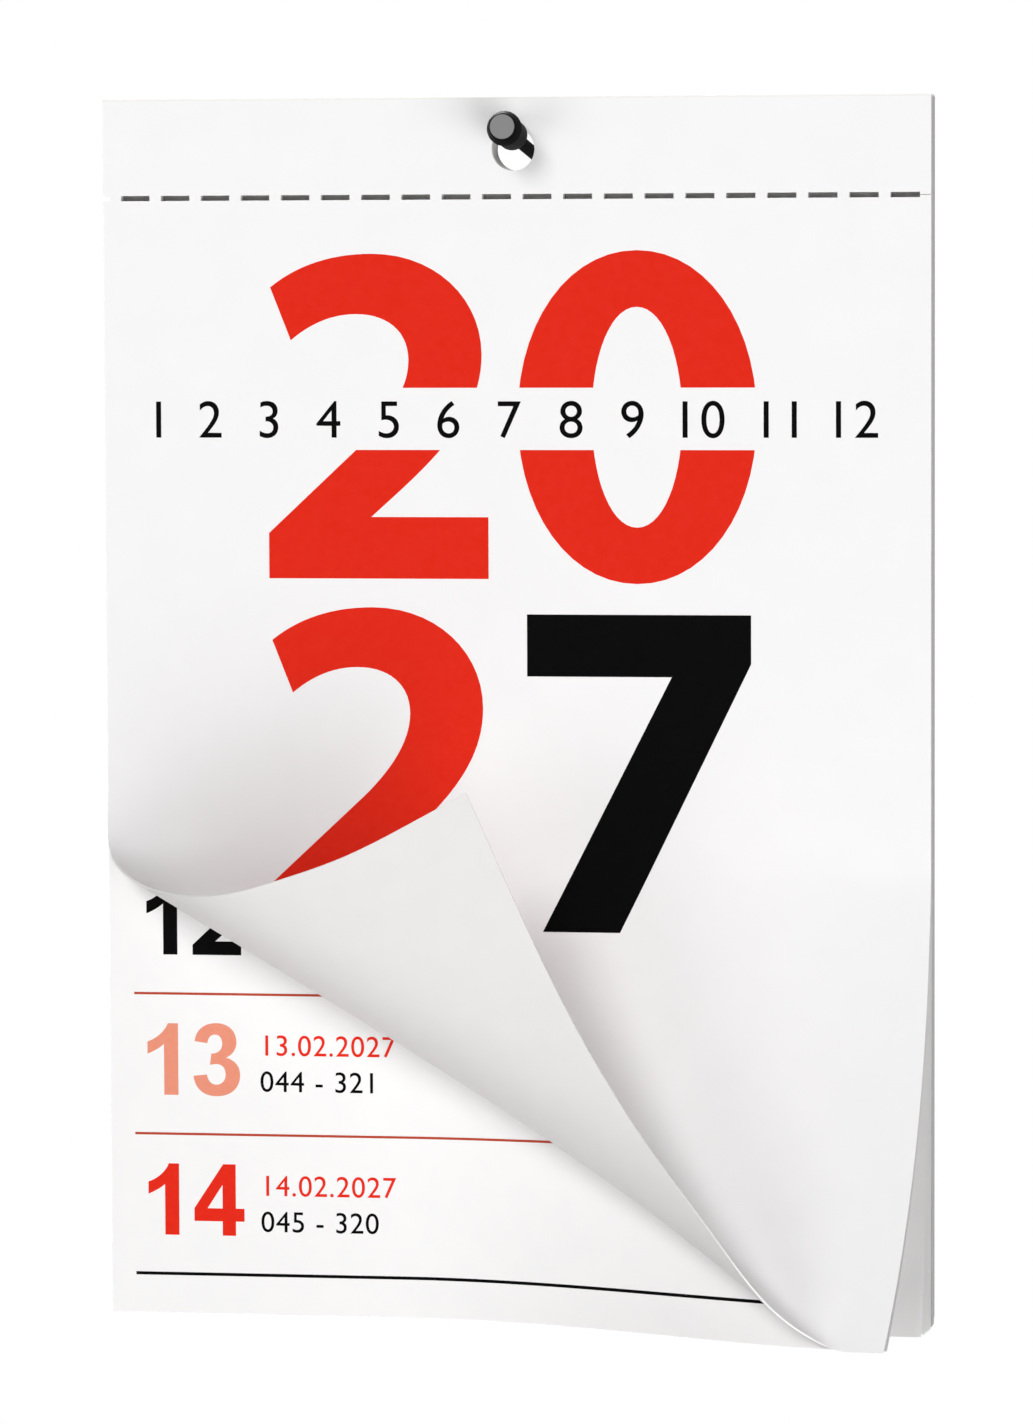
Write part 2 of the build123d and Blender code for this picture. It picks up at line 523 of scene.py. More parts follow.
def evenly(stops: Sequence[float], step: float) -> np.ndarray:
    """Places from the first stop to the last, at every stop and at most a step apart.

    Args:
        stops: The places to meet, in order.
        step: The greatest distance from one place to the next.

    Returns:
        The places, in order.
    """
    slack = 1e-6
    places = [stops[0]]
    for start, end in zip(stops, stops[1:]):
        count = max(1, math.ceil((end - start) / step - slack))
        places.extend(start + (end - start) * (i + 1) / count for i in range(count))
    return np.array(places)


# Geometry Nodes


class NodeTool:
    """A Geometry Nodes tree with named inputs, and the modifier that runs it."""

    def __init__(self, name: str, inputs: dict[str, str]) -> None:
        """Starts a tree.

        Args:
            name: The tree's name.
            inputs: Each input's name and kind, between the geometry and the material.
        """
        self.tree = bpy.data.node_groups.new(name, "GeometryNodeTree")
        face = self.tree.interface
        face.new_socket("Geometry", in_out="INPUT", socket_type="NodeSocketGeometry")
        self.sockets = {
            key: face.new_socket(key, in_out="INPUT", socket_type=f"NodeSocket{kind}").identifier
            for key, kind in {**inputs, "Material": "Material"}.items()
        }
        face.new_socket("Geometry", in_out="OUTPUT", socket_type="NodeSocketGeometry")
        self.given = add_node(self.tree, "NodeGroupInput").outputs

    def close(self, geometry: Socket) -> None:
        """Ends the tree with real geometry in its material.

        Args:
            geometry: The socket that holds the result.
        """
        real = add_node(self.tree, "GeometryNodeRealizeInstances", {"Geometry": geometry})
        dressed = add_node(self.tree, "GeometryNodeSetMaterial",
                           {"Geometry": real.outputs["Geometry"], "Material": self.given["Material"]})
        add_node(self.tree, "NodeGroupOutput", {0: dressed.outputs["Geometry"]})

    def run(self, piece: Piece, finish: Finish, values: dict[str, object]) -> None:
        """Puts the tree on an object.

        Args:
            piece: The object that gets the modifier.
            finish: The finish of what the tree makes.
            values: A value for each other named input.
        """
        modifier = piece.modifiers.new(self.tree.name, "NODES")
        modifier.node_group = self.tree
        for key, value in {**values, "Material": finish.dress()}.items():
            modifier[self.sockets[key]] = value


class RowTool(NodeTool):
    """A tree that sets copies of one shape in a row."""

    def __init__(self, name: str, inputs: dict[str, str]) -> None:
        """Starts a tree with inputs for the row and for its shape."""
        super().__init__(name, {"Count": "Int", "First": "Vector", "Step": "Vector", **inputs})

    def repeat(self, shape: Socket) -> None:
        """Ends the tree with a shape at every place of the row.

        Args:
            shape: The socket that holds the shape.
        """
        given = self.given
        line = add_node(self.tree, "GeometryNodeMeshLine",
                        {"Count": given["Count"], "Start Location": given["First"], "Offset": given["Step"]})
        copies = add_node(self.tree, "GeometryNodeInstanceOnPoints",
                          {"Points": line.outputs["Mesh"], "Instance": shape})
        self.close(copies.outputs["Instances"])

    def row(self, count: int, first: np.ndarray, step: Sequence[float], finish: Finish,
            shape: dict[str, object]) -> Piece:
        """Starts an object that holds a row.

        Args:
            count: How many copies there are.
            first: The first copy's place in millimetres.
            step: The way from one copy to the next in millimetres.
            finish: The copies' finish.
            shape: The shape's own inputs, with lengths in metres.

        Returns:
            The object, with the tree on it.
        """
        source = new_object("row", bpy.data.meshes.new("row"))
        self.run(source, finish, {
            "Count": count, "First": tuple(first * MM), "Step": tuple(np.multiply(step, MM)), **shape,
        })
        return source


def lift_tool() -> NodeTool:
    """The tree that bends a flat sheet forward at its lower right corner.

    Returns:
        The tool. Its lengths are in metres.
    """
    names = ("Bend", "Foot", "Left", "Right", "Side", "Power", "Corner", "Pull", "Full")
    tool = NodeTool("corner lift", {name: "Float" for name in names})
    tree, given = tool.tree, tool.given
    place = add_node(tree, "GeometryNodeInputPosition").outputs["Position"]
    parts = add_node(tree, "ShaderNodeSeparateXYZ", {"Vector": place}).outputs
    found = {"x": parts["X"], "z": parts["Z"], **{name: given[name] for name in names}}
    for name, value, start, end, kind in (
        ("share", "z", "Bend", "Foot", "LINEAR"),
        ("across", "x", "Left", "Right", "SMOOTHSTEP"),
        ("reach", "x", "Left", "Side", "LINEAR"),
    ):
        inputs = {"Value": found[value], "From Min": found[start], "From Max": found[end]}
        found[name] = add_node(tree, "ShaderNodeMapRange", inputs, interpolation_type=kind).outputs["Result"]
    for name, one, other, step in (
        ("down", "share", "Power", "POWER"),
        ("rise", "down", "across", "MULTIPLY"),
        ("lift", "rise", "Corner", "MULTIPLY"),
        ("part", "lift", "Full", "DIVIDE"),
        ("square", "part", "part", "MULTIPLY"),
        ("draw", "square", "reach", "MULTIPLY"),
        ("pull", "draw", "Pull", "MULTIPLY"),
    ):
        inputs = {0: found[one], 1: found[other]}
        found[name] = add_node(tree, "ShaderNodeMath", inputs, operation=step).outputs[0]
    shift = add_node(tree, "ShaderNodeCombineXYZ", {"X": found["pull"], "Y": found["lift"]})
    back = add_node(tree, "ShaderNodeVectorMath", {0: shift.outputs["Vector"], "Scale": -1.0},
                    operation="SCALE")
    moved = add_node(tree, "GeometryNodeSetPosition",
                     {"Geometry": given["Geometry"], "Offset": back.outputs["Vector"]})
    tool.close(moved.outputs["Geometry"])
    return tool


def block_tool() -> RowTool:
    """The tree that sets a row of small paper blocks along a tear line.

    Returns:
        The tool. Its lengths are in metres.
    """
    tool = RowTool("paper blocks", {"Size": "Vector"})
    block = add_node(tool.tree, "GeometryNodeMeshCube", {"Size": tool.given["Size"]})
    tool.repeat(block.outputs["Mesh"])
    return tool


def rule_tool() -> RowTool:
    """The tree that prints ruled lines down a flat page.

    Returns:
        The tool. Its lengths are in metres.
    """
    tool = RowTool("ruled lines", {"Length": "Float", "Width": "Float", "Parts": "Int"})
    given = tool.given
    strip = add_node(tool.tree, "GeometryNodeMeshGrid", {
        "Size X": given["Length"], "Size Y": given["Width"], "Vertices X": given["Parts"], "Vertices Y": 2,
    })
    upright = add_node(tool.tree, "GeometryNodeTransform",
                       {"Geometry": strip.outputs["Mesh"], "Rotation": (math.pi / 2, 0.0, 0.0)})
    tool.repeat(upright.outputs["Geometry"])
    return tool


# The page and how it bends


@dataclass(frozen=True)
class Page:
    """The pad's page and its tear line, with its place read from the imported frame."""

    left: float
    right: float
    top: float
    height: float
    front: float
    tear_drop: float = 16.6
    tear_gap: float = 0.1
    slot_length: float = 5.0
    slot_height: float = 0.9
    slot_tie: float = 2.0
    slot_margin: float = 1.9

    @classmethod
    def from_frame(cls) -> Page:
        """Reads the page from the board and the cover's header strip.

        Returns:
            The page.
        """
        low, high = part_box("backing_board")
        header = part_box("cover_stub")[0]
        return cls(low.x / MM, high.x / MM, high.z / MM, (high.z - low.z) / MM, -header.y / MM)

    @property
    def leaf_top(self) -> float:
        """The drop of a leaf's upper edge, below the tear line."""
        return self.tear_drop + self.tear_gap / 2

    @property
    def slot_bottom(self) -> float:
        """The drop of the slots' lower edge."""
        return self.tear_drop + self.slot_height / 2

    @property
    def slot_pitch(self) -> float:
        """The distance from one slot to the next."""
        return self.slot_length + self.slot_tie

    def slots(self) -> list[tuple[float, float]]:
        """Lays out the tear line.

        Returns:
            The slots' ends, from the right edge to the left.
        """
        found = []
        end = self.right - self.slot_margin
        while end > self.left:
            found.append((max(end - self.slot_length, self.left), end))
            end -= self.slot_pitch
        return found

    def spot(self, x: np.ndarray, drop: np.ndarray, forward: np.ndarray) -> np.ndarray:
        """Places in the frame, in millimetres.

        Args:
            x: Places across the page.
            drop: Places below its top edge.
            forward: Places forward of the wall.

        Returns:
            One row of three numbers for each place.
        """
        x, drop, forward = np.broadcast_arrays(x, drop, forward)
        return np.stack([x, -forward, self.top - drop], axis=-1)


@dataclass(frozen=True)
class CornerLift:
    """How the leaves bend forward at the lower right."""

    start: float = 132.0
    left: float = -20.0
    right: float = 72.0
    power: float = 1.3
    pull: float = 5.5
    full: float = 26.0

    def place(self, page: Page, x: np.ndarray, drop: np.ndarray, forward: np.ndarray,
              corner: float) -> np.ndarray:
        """Places on a leaf whose corner has come forward.

        Args:
            page: The page.
            x: Places across the page.
            drop: Places below its top edge.
            forward: Places forward of the wall before the leaf was lifted.
            corner: How far the corner comes forward.

        Returns:
            One row of three numbers for each place.
        """
        down = np.maximum((drop - self.start) / (page.height - self.start), 0) ** self.power
        share = np.clip((x - self.left) / (self.right - self.left), 0, 1)
        lift = corner * down * share * share * (3 - 2 * share)
        reach = np.clip((x - self.left) / (page.right - self.left), 0, 1)
        pull = self.pull * (lift / self.full) ** 2 * reach
        return page.spot(x - pull, drop, forward + lift)

    def inputs(self, page: Page, corner: float) -> dict[str, object]:
        """The same sizes in metres, for the lift tree."""
        return {
            "Bend": (page.top - self.start) * MM, "Foot": (page.top - page.height) * MM,
            "Left": self.left * MM, "Right": self.right * MM, "Side": page.right * MM, "Power": self.power,
            "Corner": corner * MM, "Pull": self.pull * MM, "Full": self.full * MM,
        }


def smooth_curve(places: np.ndarray, start: np.ndarray, end: np.ndarray, count: int = 2000) -> np.ndarray:
    """A smooth curve through a few places.

    Args:
        places: The places to pass through.
        start: Its direction at the first place, one unit long.
        end: Its direction at the last place, one unit long.
        count: How many places to return.

    Returns:
        Places that are evenly spaced along the curve.
    """
    gaps = np.linalg.norm(np.diff(places, axis=0), axis=1)
    last = len(places) - 1
    system = np.eye(last + 1)
    known = np.zeros_like(places)
    known[0], known[last] = start, end
    steps = np.diff(places, axis=0) / gaps[:, None]
    for i in range(1, last):
        system[i, i - 1:i + 2] = gaps[i], 2 * (gaps[i - 1] + gaps[i]), gaps[i - 1]
        known[i] = 3 * (gaps[i] * steps[i - 1] + gaps[i - 1] * steps[i])
    slopes = np.linalg.solve(system, known)
    s = np.linspace(0, 1, count)[:, None]
    runs = []
    for i in range(last):
        runs.append(
            (1 + 2 * s) * (1 - s) ** 2 * places[i] + s * (1 - s) ** 2 * gaps[i] * slopes[i]
            + s * s * (3 - 2 * s) * places[i + 1] + s * s * (s - 1) * gaps[i] * slopes[i + 1]
        )
    line = np.concatenate(runs)
    length = np.concatenate(([0], np.cumsum(np.linalg.norm(np.diff(line, axis=0), axis=1))))
    even = np.linspace(0, length[-1], count)
    return np.stack([np.interp(even, length, line[:, i]) for i in range(3)], axis=1)


@dataclass(frozen=True)
class CornerCurl:
    """How the cover's lower left corner curls over.

    Each row is one place along a curled edge: its share of the curl's run to the right, its share of
    the rise up the page, and its height in millimetres.
    """

    margin: float = 6.7
    rise: float = 91.2
    left_rows: tuple[tuple[float, float, float], ...] = (
        (0.000, 1.000, 0.0), (0.004, 0.897, 2.0), (0.037, 0.849, 9.0), (0.101, 0.826, 18.5),
        (0.186, 0.832, 26.5), (0.272, 0.868, 31.0), (0.351, 0.912, 33.5), (0.428, 0.970, 35.0),
        (0.505, 1.033, 36.0),
    )
    bottom_rows: tuple[tuple[float, float, float], ...] = (
        (1.000, 0.000, 0.0), (0.954, 0.019, 1.5), (0.910, 0.060, 7.0), (0.871, 0.114, 13.0),
        (0.809, 0.225, 20.0), (0.732, 0.371, 25.5), (0.644, 0.577, 30.0), (0.580, 0.771, 33.0),
        (0.505, 1.033, 36.0),
    )

    def run(self, page: Page) -> float:
        """How far the curl reaches along the page's bottom edge."""
        return page.right - page.left - self.margin

    def edge(self, page: Page, rows: Sequence[Sequence[float]], start: Sequence[float]) -> np.ndarray:
        """One curled edge.

        Args:
            page: The page.
            rows: The edge's rows.
            start: Its direction where it leaves the page.

        Returns:
            Places across, down and above the page, evenly spaced along the edge.
        """
        run = self.run(page)
        places = np.array([(page.left + a * run, page.height - u * self.rise, h) for a, u, h in rows])
        end = places[-1] - places[-2]
        return smooth_curve(places, np.array(start, float), end / np.linalg.norm(end))

    def places(self, page: Page) -> Place:
        """The curl as a function of a place on the flat page.

        Args:
            page: The page.

        Returns:
            A function from x and drop to rows of x, drop and height.
        """
        run = self.run(page)
        left = self.edge(page, self.left_rows, (0, 1, 0))
        bottom = self.edge(page, self.bottom_rows, (-1, 0, 0))
        ticks = np.linspace(0, 1, len(left))
        nothing = 1e-9

        def curled(x: np.ndarray, drop: np.ndarray) -> np.ndarray:
            """Rolls places of the flat page into the curl.

            Args:
                x: Places across the page.
                drop: Places below its top edge.

            Returns:
                Rows of x, drop and height.
            """
            across = (x - page.left) / run
            up = (page.height - drop) / self.rise
            turned = np.clip(1 - across - up, 0, 1)
            share = np.clip(across / np.maximum(across + up, nothing), 0, 1)[..., None]
            on_left, on_bottom = (
                np.stack([np.interp(turned, ticks, edge[:, i]) for i in range(3)], axis=-1)
                for edge in (left, bottom)
            )
            flat = np.stack([x, drop, np.zeros_like(x)], axis=-1)
            return np.where((turned > 0)[..., None], on_left * (1 - share) + on_bottom * share, flat)

        return curled


def sheet_grid(page: Page, place: Place, bend: float, steps: tuple[float, float, float]) -> Mesh:
    """The face of a sheet below the tear line, with its half of the slots left open.

    Args:
        page: The page.
        place: Where a place of the flat sheet lies.
        bend: The drop from which the sheet bends.
        steps: The greatest height of a row above that drop and below it, and a column's greatest width.

    Returns:
        The face, with flat places in metres as its UV map.
    """
    slots = page.slots()
    stops = sorted({page.left, page.right, *(end for slot in slots for end in slot)})
    xs = evenly(stops, steps[2])
    upper = evenly((page.leaf_top, page.slot_bottom, bend), steps[0])
    drops = np.concatenate((upper, evenly((bend, page.height), steps[1])[1:]))
    x, drop = np.meshgrid(xs, drops)
    vertices = place(x, drop).reshape(-1, 3)
    columns = len(xs)
    faces = []
    for row in range(len(drops) - 1):
        for column in range(columns - 1):
            middle = (xs[column] + xs[column + 1]) / 2
            if row == 0 and any(start < middle < end for start, end in slots):
                continue
            corner = row * columns + column
            faces.append((corner, corner + columns, corner + columns + 1, corner + 1))
    mesh = mesh_of(vertices, faces)
    layer = mesh.uv_layers.new(name="flat sheet")
    flat = np.stack([x, -drop], axis=-1).reshape(-1, 2) * MM
    layer.data.foreach_set("uv", flat[[loop.vertex_index for loop in mesh.loops]].ravel())
    with editing(mesh) as work:
        bmesh.ops.delete(work, geom=[v for v in work.verts if not v.link_faces], context="VERTS")
    return mesh


# Figures, drawn in boxes 100 units high with y down: a start, then lines and cubic curves


def oval(x: float, y: float, half_width: float, half_height: float, fullness: float = 0.57) -> Outline:
    """An upright oval of four curves.

    Args:
        x: Its middle across.
        y: Its middle down.
        half_width: Half its width.
        half_height: Half its height.
        fullness: How far its curves' handles reach.

    Returns:
        Its outline.
    """
    a, b = half_width, half_height
    c, d = a * fullness, b * fullness
    return (
        (x, y - b), (x + c, y - b, x + a, y - d, x + a, y), (x + a, y + d, x + c, y + b, x, y + b),
        (x - c, y + b, x - a, y + d, x - a, y), (x - a, y - d, x - c, y - b, x, y - b),
    )


def turned_over(outline: Outline, width: float, height: float) -> Outline:
    """An outline turned by half a turn in its box."""
    size = (width, height)
    return tuple(tuple(size[i % 2] - value for i, value in enumerate(point)) for point in outline)


FIGURE_UNITS = 100
SIX_WIDTH = 66
SIX = (
    (64, 24), (44.5, 27), (43.5, 19, 39.5, 15, 34, 15), (27, 15, 21, 21.5, 20, 40),
    (24.5, 34.5, 30, 32.5, 36.5, 32.5), (53, 32.5, 66, 46, 66, 66), (66, 87, 52, 101, 34.5, 101),
    (14, 101, 0, 85, 0, 51), (0, 16, 15, -1, 35.5, -1), (50.5, -1, 61, 8, 64, 24),
)
SIX_EYE = oval(34.5, 66.5, 13, 19)
FIGURES: dict[str, tuple[Outline, ...]] = {
    "0": (oval(37, 50.3, 37, 51.1), oval(37, 50.3, 14, 33.8)),
    "1": ((
        (7, 26), (21, 21, 32, 11, 36, 0), (50.5, 0), (50.5, 100), (30.5, 100), (30.5, 29),
        (24, 35, 15.5, 39.5, 7, 43),
    ),),
    "2": ((
        (0.8, 10.2), (9.6, 3.2, 20.3, 0, 32.5, 0), (52.5, 0, 66.8, 13.7, 66.8, 31),
        (66.8, 42.2, 61.6, 51.7, 53.6, 60.5), (47.5, 67.4, 40.7, 73.3, 32.1, 81), (68.7, 81), (68.7, 100),
        (0, 100), (0, 86), (27.3, 60.5), (35.6, 53, 44, 42.8, 44, 32.7), (44, 23.7, 37.3, 18.5, 27.7, 18.5),
        (20.3, 18.5, 13.6, 21.2, 7.2, 26.5),
    ),),
    "3": ((
        (2, 24.5), (4, 8, 16, -1, 33, -1), (50, -1, 61, 10, 61, 25), (61, 36, 55, 43, 46, 47),
        (58, 50, 66, 58, 66, 71), (66, 90, 52, 101, 32.5, 101), (13, 101, 2, 90, 0, 73), (19, 71),
        (20.5, 80, 25.5, 85, 32.5, 85), (40, 85, 45.5, 79, 45.5, 70.5), (45.5, 61, 40, 56, 32.5, 56),
        (30, 56, 27, 56.5, 23.5, 57.3), (25.5, 41.5), (35, 41.8, 41, 36, 41, 27.5), (41, 20, 37, 15, 31, 15),
        (25, 15, 21, 19, 20, 27),
    ),),
    "4": (
        ((41, 0), (58.7, 0), (58.7, 62), (70.9, 62), (70.9, 80), (58.7, 80), (58.7, 100), (40, 100), (40, 80),
         (0, 80), (0, 62)),
        ((40, 29), (40, 62), (18.5, 62)),
    ),
    "5": ((
        (9, 0), (62, 0), (62, 18), (25, 18), (22, 35), (27, 32.5, 31, 31.5, 36, 31.5),
        (53, 31.5, 66, 44.5, 66, 65), (66, 86, 51, 101, 32.5, 101), (14, 101, 2, 90, 0, 74), (19.5, 72),
        (20.5, 80.5, 26, 85.5, 32.5, 85.5), (40.5, 85.5, 46, 78.5, 46, 66), (46, 54, 40.5, 47.5, 32, 47.5),
        (26.5, 47.5, 21.5, 50, 17.5, 55), (1, 52.5),
    ),),
    "6": (SIX, SIX_EYE),
    "7": (((0, 2), (69.4, 2), (69.4, 17), (28.8, 100), (4.7, 100), (44.9, 21.1), (0, 21.1)),),
    "8": (
        ((33, -1), (51, -1, 63, 10, 63, 26), (63, 36, 58, 43, 50, 47), (60, 51, 66, 60, 66, 72),
         (66, 90, 53, 101, 33.5, 101), (14, 101, 0, 91, 0, 72.5), (0, 61, 6, 51.5, 17, 47),
         (7.5, 43, 3.5, 35.5, 3.5, 26.5), (3.5, 10, 15, -1, 33, -1)),
        oval(33.3, 27, 11, 12), oval(33, 71, 13.5, 15.5),
    ),
    "9": tuple(turned_over(outline, SIX_WIDTH, FIGURE_UNITS) for outline in (SIX, SIX_EYE)),
}


def trace(outline: Outline, steps: int = 14) -> np.ndarray:
    """Follows an outline's lines and curves.

    Args:
        outline: The start, then lines of two numbers and curves of six.
        steps: How many places each curve gets.

    Returns:
        Its places, in order.
    """
    places = [np.array(outline[0], float)]
    for segment in outline[1:]:
        start, points = places[-1], np.array(segment, float).reshape(-1, 2)
        if len(points) == 1:
            places.append(points[0])
            continue
        for t in np.linspace(0, 1, steps + 1)[1:]:
            weights = (1 - t) ** 3, 3 * t * (1 - t) ** 2, 3 * t * t * (1 - t), t ** 3
            places.append(sum(weight * point for weight, point in zip(weights, (start, *points))))
    if np.allclose(places[0], places[-1]):
        places.pop()
    return np.array(places)


def filled(outlines: Sequence[np.ndarray]) -> Mesh:
    """Fills outlines on a flat page.

    Args:
        outlines: Closed lines of x and drop, with each hole's line after the line round it.

    Returns:
        A flat mesh whose x is across and whose y is the drop, in millimetres.
    """
    curve = bpy.data.curves.new("outline", "CURVE")
    curve.dimensions = "2D"
    curve.fill_mode = "BOTH"
    for outline in outlines:
        spline = curve.splines.new("POLY")
        spline.points.add(len(outline) - 1)
        spline.points.foreach_set("co", np.pad(outline, ((0, 0), (0, 2)), constant_values=(0, 1)).ravel())
        spline.use_cyclic_u = True
    return evaluated(new_object("outline", curve))


def bold_figures(text: str, x: float, top: float, height: float, advance: float = 0.0) -> Mesh:
    """Bold figures in a row.

    Args:
        text: The figures.
        x: The first figure's left side.
        top: The figures' upper edge.
        height: Their height.
        advance: The distance from one figure to the next, as a share of the height.

    Returns:
        A flat mesh of x and drop.
    """
    outlines = []
    for i, figure in enumerate(text):
        corner = np.array((x + i * advance * height, top))
        outlines.extend(trace(outline) * height / FIGURE_UNITS + corner for outline in FIGURES[figure])
    return filled(outlines)


def thin_figures(text: str, x: float, baseline: float, height: float, weight: float) -> Mesh:
    """Thin figures in a row, in Blender's own plain face.

    Args:
        text: The figures and any plain marks between them.
        x: The row's left side.
        baseline: The drop of the figures' feet.
        height: Their height.
        weight: How much thicker the strokes are than the plain face's, as a share of its size.

    Returns:
        A flat mesh of x and drop.
    """
    figure_share, spacing = 0.7, 1.05
    curve = bpy.data.curves.new("figures", "FONT")
    curve.body = text
    curve.size = height / figure_share
    curve.offset = weight
    curve.space_character = spacing
    mesh = evaluated(new_object("figures", curve))
    mesh.transform(Matrix.Translation((x, baseline, 0)) @ Matrix.Diagonal((1, -1, 1, 1)))
    return mesh


@dataclass
class PrintRun:
    """Ink on one sheet: flat figures that are laid on it where it bends."""

    place: Place
    film_mm: float = 0.03
    sunk_mm: float = 0.008
    grid_mm: float = 2.5
    probe_mm: float = 0.2
    cut_slack: float = 1e-5

    def lay(self, name: str, flats: Sequence[Mesh], ink: Finish, bare: tuple[float, float] | None = None,
            bent_from: float = math.inf) -> Piece:
        """Lays flat figures on the sheet.

        Args:
            name: The piece's name.
            flats: Flat meshes of x and drop.
            ink: The ink.
            bare: A band of drops that stays unprinted.
            bent_from: The drop from which the sheet bends, where the figures are divided.

        Returns:
            The piece.
        """
        mesh = bpy.data.meshes.new(name)
        with editing(mesh, *flats) as work:
            places = np.array([v.co for v in work.verts])
            low, high = places.min(axis=0), places.max(axis=0)
            if high[1] > bent_from:
                for axis, start in enumerate((low[0], max(low[1], bent_from))):
                    self.divide(work, axis, np.arange(start + self.grid_mm, high[axis], self.grid_mm))
            if bare:
                self.divide(work, 1, bare)
                inside = [f for f in work.faces if bare[0] < f.calc_center_median().y < bare[1]]
                bmesh.ops.delete(work, geom=inside, context="FACES")
            self.press(work)
        for flat in flats:
            bpy.data.meshes.remove(flat)
        mesh.materials.append(ink.dress())
        source = new_object(name + "_flat", mesh)
        thicken(source, self.film_mm + self.sunk_mm)
        return smooth(baked(source, name))

    def divide(self, work: bmesh.types.BMesh, axis: int, stops: Iterable[float]) -> None:
        """Cuts the figures' faces along lines.

        Args:
            work: The flat figures.
            axis: 0 for lines down the page, 1 for lines across it.
            stops: The lines' places on that axis.
        """
        way = Vector((0, 0, 0))
        way[axis] = 1.0
        for stop in stops:
            geometry = [*work.verts, *work.edges, *work.faces]
            bmesh.ops.bisect_plane(
                work, geom=geometry, plane_co=way * float(stop), plane_no=way, dist=self.cut_slack)

    def press(self, work: bmesh.types.BMesh) -> None:
        """Moves flat figures onto the sheet, and turns their faces out of it.

        Args:
            work: The flat figures.
        """
        x, drop, _ = np.array([v.co for v in work.verts]).T
        step = self.probe_mm
        across = self.place(x + step, drop) - self.place(x - step, drop)
        down = self.place(x, drop + step) - self.place(x, drop - step)
        out = np.cross(down, across)
        out /= np.linalg.norm(out, axis=1)[:, None]
        for vertex, spot in zip(work.verts, (self.place(x, drop) + out * self.film_mm) * MM):
            vertex.co = spot
        outward = Vector(out.mean(axis=0))
        work.normal_update()
        turned = [f for f in work.faces if f.normal.dot(outward) < 0]
        bmesh.ops.reverse_faces(work, faces=turned)


# Sub-assemblies


@dataclass
class Cover:
    """The printed cover below its tear line, with one corner curled and one lifted."""

    page: Page
    lift: CornerLift
    curl: CornerCurl
    thickness: float = 0.3
    corner: float = 26.0
    bend_margin: float = 2.0
    steps: tuple[float, float, float] = (5.0, 1.0, 1.1)
    # A tie is a little thinner than the card, and reaches past both sides of the tear gap
    tie_share: float = 0.98
    tie_gaps: float = 2.4

    def __post_init__(self) -> None:
        """Keeps the curl's function, which takes a while to work out."""
        self.curled = self.curl.places(self.page)

    def place(self, x: np.ndarray, drop: np.ndarray) -> np.ndarray:
        """Where places of the flat cover lie."""
        x, drop, height = np.moveaxis(self.curled(np.asarray(x, float), np.asarray(drop, float)), -1, 0)
        return self.lift.place(self.page, x, drop, self.page.front + height, self.corner)

    def build(self) -> None:
        """Builds the sheet, and dresses the header strip above it."""
        bend = self.page.height - self.curl.rise - self.bend_margin
        mesh = sheet_grid(self.page, self.place, bend, self.steps)
        for finish in (Finish.COVER, Finish.REVERSE):
            mesh.materials.append(finish.dress())
        source = new_object("cover_face", mesh)
        thicken(source, self.thickness, reverse=1)
        settle(smooth(baked(source, "cover_sheet")), "cover", ["cover_leaf"])
        dress_node("cover_stub", Finish.COVER)

    def ties(self, tool: RowTool) -> None:
        """Sets the paper ties that still hold the cover to its header strip.

        Args:
            tool: The tree for a row of blocks.
        """
        page = self.page
        slots = page.slots()
        first = page.spot(slots[1][1] + page.slot_tie / 2, page.tear_drop, page.front - self.thickness / 2)
        size = (page.slot_tie, self.thickness * self.tie_share, self.tie_gaps * page.tear_gap)
        row = tool.row(len(slots) - 1, first, (-page.slot_pitch, 0, 0), Finish.COVER,
                       {"Size": tuple(np.multiply(size, MM))})
        settle(baked(row, "cover_tear_ties"), "pad")


@dataclass
class CoverPrint:
    """The year in big figures, and the months as a thin row of numbers in the gap across its upper half."""

    cover: Cover
    figure_height: float = 55.7
    left_x: float = -42.8
    right_x: float = 0.6
    seven_x: float = 2.1
    upper_top: float = 26.25
    lower_top: float = 86.9
    gap: tuple[float, float] = (49.2, 59.85)
    months: int = 12
    month_height: float = 6.4
    month_reach: float = 62.5
    month_baseline: float = 57.75
    month_weight: float = -0.016

    def build(self) -> None:
        """Prints the cover."""
        run = PrintRun(self.cover.place)
        bent = self.cover.page.height - self.cover.curl.rise
        tall = self.figure_height
        upper = [bold_figures("2", self.left_x, self.upper_top, tall),
                 bold_figures("0", self.right_x, self.upper_top, tall)]
        lower = [bold_figures("2", self.left_x, self.lower_top, tall)]
        seven = [bold_figures("7", self.seven_x, self.lower_top, tall)]
        for piece in (
            run.lay("cover_year_upper", upper, Finish.RED, bare=self.gap),
            run.lay("cover_year_lower", lower, Finish.RED, bent_from=bent),
            run.lay("cover_year_seven", seven, Finish.BLACK, bent_from=bent),
            run.lay("cover_month_numbers", self.month_row(), Finish.BLACK),
        ):
            settle(piece, "cover")

    def month_row(self) -> list[Mesh]:
        """Spreads the months' numbers over the row, with equal gaps between them.

        Returns:
            A flat mesh for each month.
        """
        row = [thin_figures(str(i + 1), 0, self.month_baseline, self.month_height, self.month_weight)
               for i in range(self.months)]
        spans = [(min(v.co.x for v in flat.vertices), max(v.co.x for v in flat.vertices)) for flat in row]
        gap = (2 * self.month_reach - sum(end - start for start, end in spans)) / (self.months - 1)
        x = -self.month_reach
        for flat, (start, end) in zip(row, spans):
            flat.transform(Matrix.Translation((x - start, 0, 0)))
            x += end - start + gap
        return row


